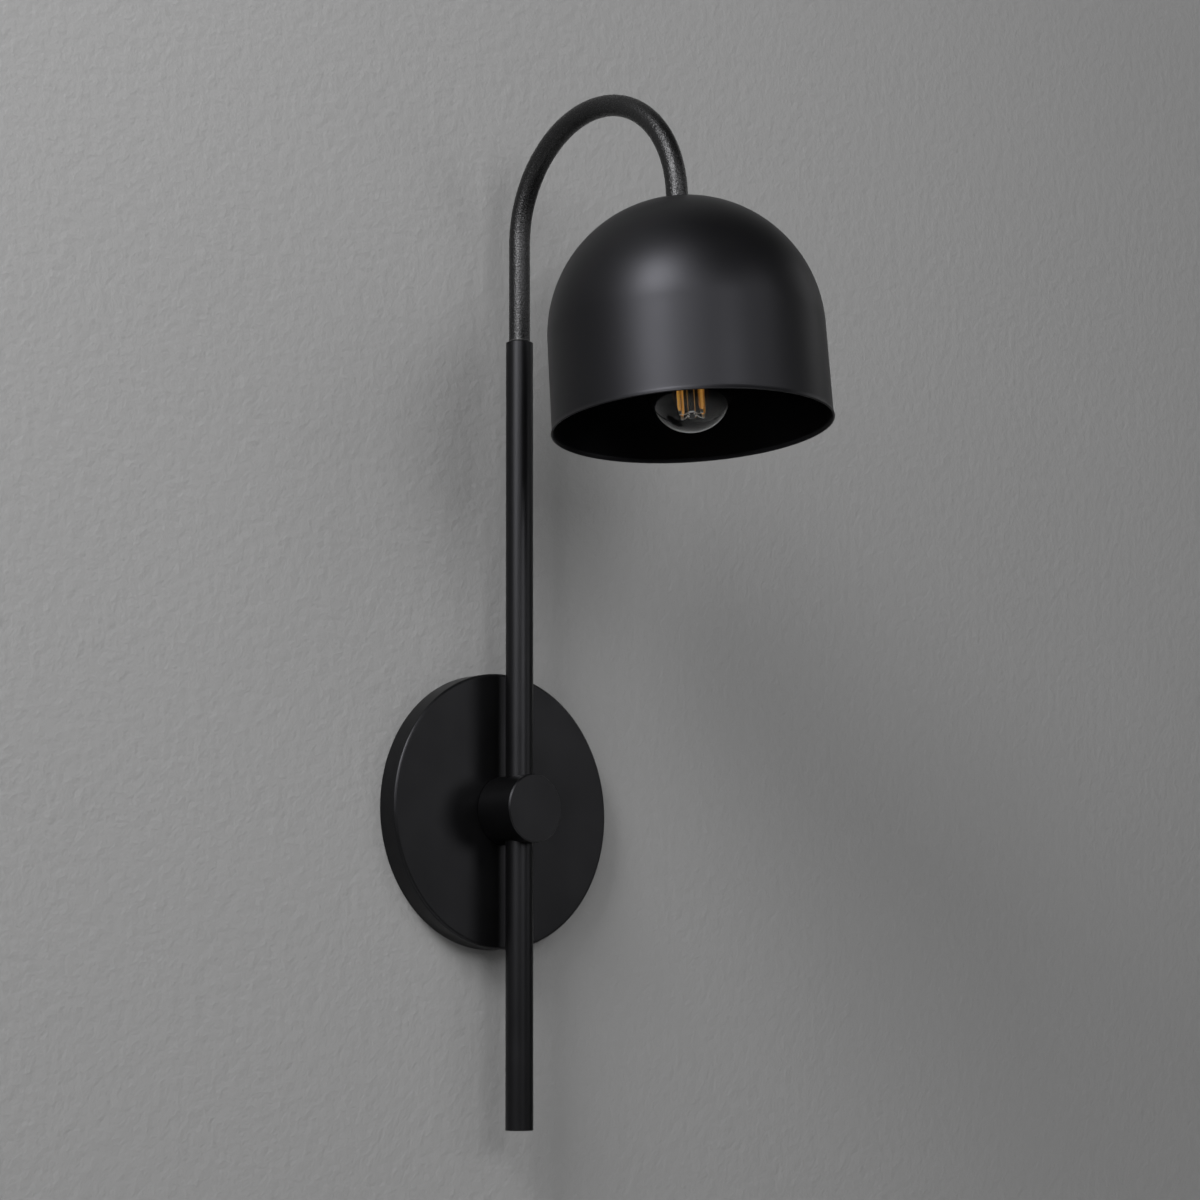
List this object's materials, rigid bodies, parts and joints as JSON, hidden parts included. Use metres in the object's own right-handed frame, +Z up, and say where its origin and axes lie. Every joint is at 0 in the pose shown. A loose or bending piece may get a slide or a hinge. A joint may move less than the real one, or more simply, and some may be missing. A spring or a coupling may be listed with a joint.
{
  "type": "wall light",
  "caption": "Wall light with a round wall plate, an upright rod in a hub, and a bent swivelling arm that hangs a domed shade with a clear globe bulb.",
  "frame": {"origin": "middle of the wall bracket's two fixing slots, on the wall's face", "axes": "+Z up the rod, +Y into the wall, +X along the wall, to the right as seen from the room"},
  "size_m": [0.15, 0.237, 0.5545],
  "materials": {
    "satin_black": "satin powder coat, near black",
    "textured_black": "fine wrinkled black powder coat",
    "shade_black": "smooth satin-matt black, near black inside",
    "zinc_steel": "bright zinc plate",
    "black_steel": "blackened steel",
    "brass": "plain turned brass",
    "tinned_copper": "tinned",
    "block_plastic": "natural white moulding",
    "holder_plastic": "black moulding",
    "washer_nylon": "black nylon",
    "holder_ceramic": "white porcelain",
    "flex_jacket": "black jacket",
    "core_insulation": "brown and blue cores, drawn in one colour",
    "earth_insulation": "green and yellow",
    "clear_glass": "clear blown glass",
    "plated_cap": "nickel plate",
    "black_glass": "black vitrite",
    "amber_coating": "amber phosphor coat",
    "bright_wire": "bright nickel wire"
  },
  "bodies": {
    "base": {"wall_bracket": "zinc_steel", "canopy": "satin_black", "canopy_grub_screws": "black_steel", "terminal_block": "block_plastic", "terminal_clamps": "brass", "terminal_screws": "zinc_steel", "block_screw": "zinc_steel", "earth_screw": "zinc_steel", "earth_lug": "tinned_copper", "earth_wire": "earth_insulation", "threaded_nipple": "brass", "nipple_nut": "zinc_steel", "nipple_washer": "zinc_steel", "hub": "satin_black", "hub_grub_screw": "black_steel", "rod": "satin_black", "rod_end_plug": "satin_black", "swivel_bush": "satin_black", "bush_grub_screw": "black_steel", "flex_lower": "flex_jacket", "lower_cores": "core_insulation"},
    "arm": {"arm": "textured_black", "arm_spigot": "brass", "stop_pin": "zinc_steel", "friction_washer": "washer_nylon", "spring_washer": "zinc_steel", "swivel_nut": "zinc_steel", "flex_upper": "flex_jacket", "upper_cores": "core_insulation", "shade_stub": "brass", "shade": "shade_black", "shade_washer": "zinc_steel", "shade_nut": "zinc_steel", "lampholder_cap": "holder_plastic", "cap_lock_screw": "black_steel", "lampholder_skirt": "holder_plastic", "lampholder_insert": "holder_ceramic", "thread_shell": "brass", "centre_contact": "brass", "side_contact": "brass", "holder_terminal_screws": "black_steel"},
    "bulb": {"bulb_glass": "clear_glass", "bulb_cap": "plated_cap", "cap_insulator": "black_glass", "tip_contact": "tinned_copper", "bulb_stem": "clear_glass", "filaments": "amber_coating", "filament_ends": "bright_wire", "support_wires": "bright_wire"}
  },
  "joints": [
    {"name": "arm_swivel", "type": "hinge", "parent": "base", "child": "arm", "pos_m": [0, -0.0261, 0.25875], "axis": [0, 0, 1], "range_deg": [-60, 60]},
    {"name": "bulb_unscrew", "type": "slide", "parent": "arm", "child": "bulb", "axis": [0, -0.0837, -0.9965], "range_m": [0, 0.026]}
  ]
}
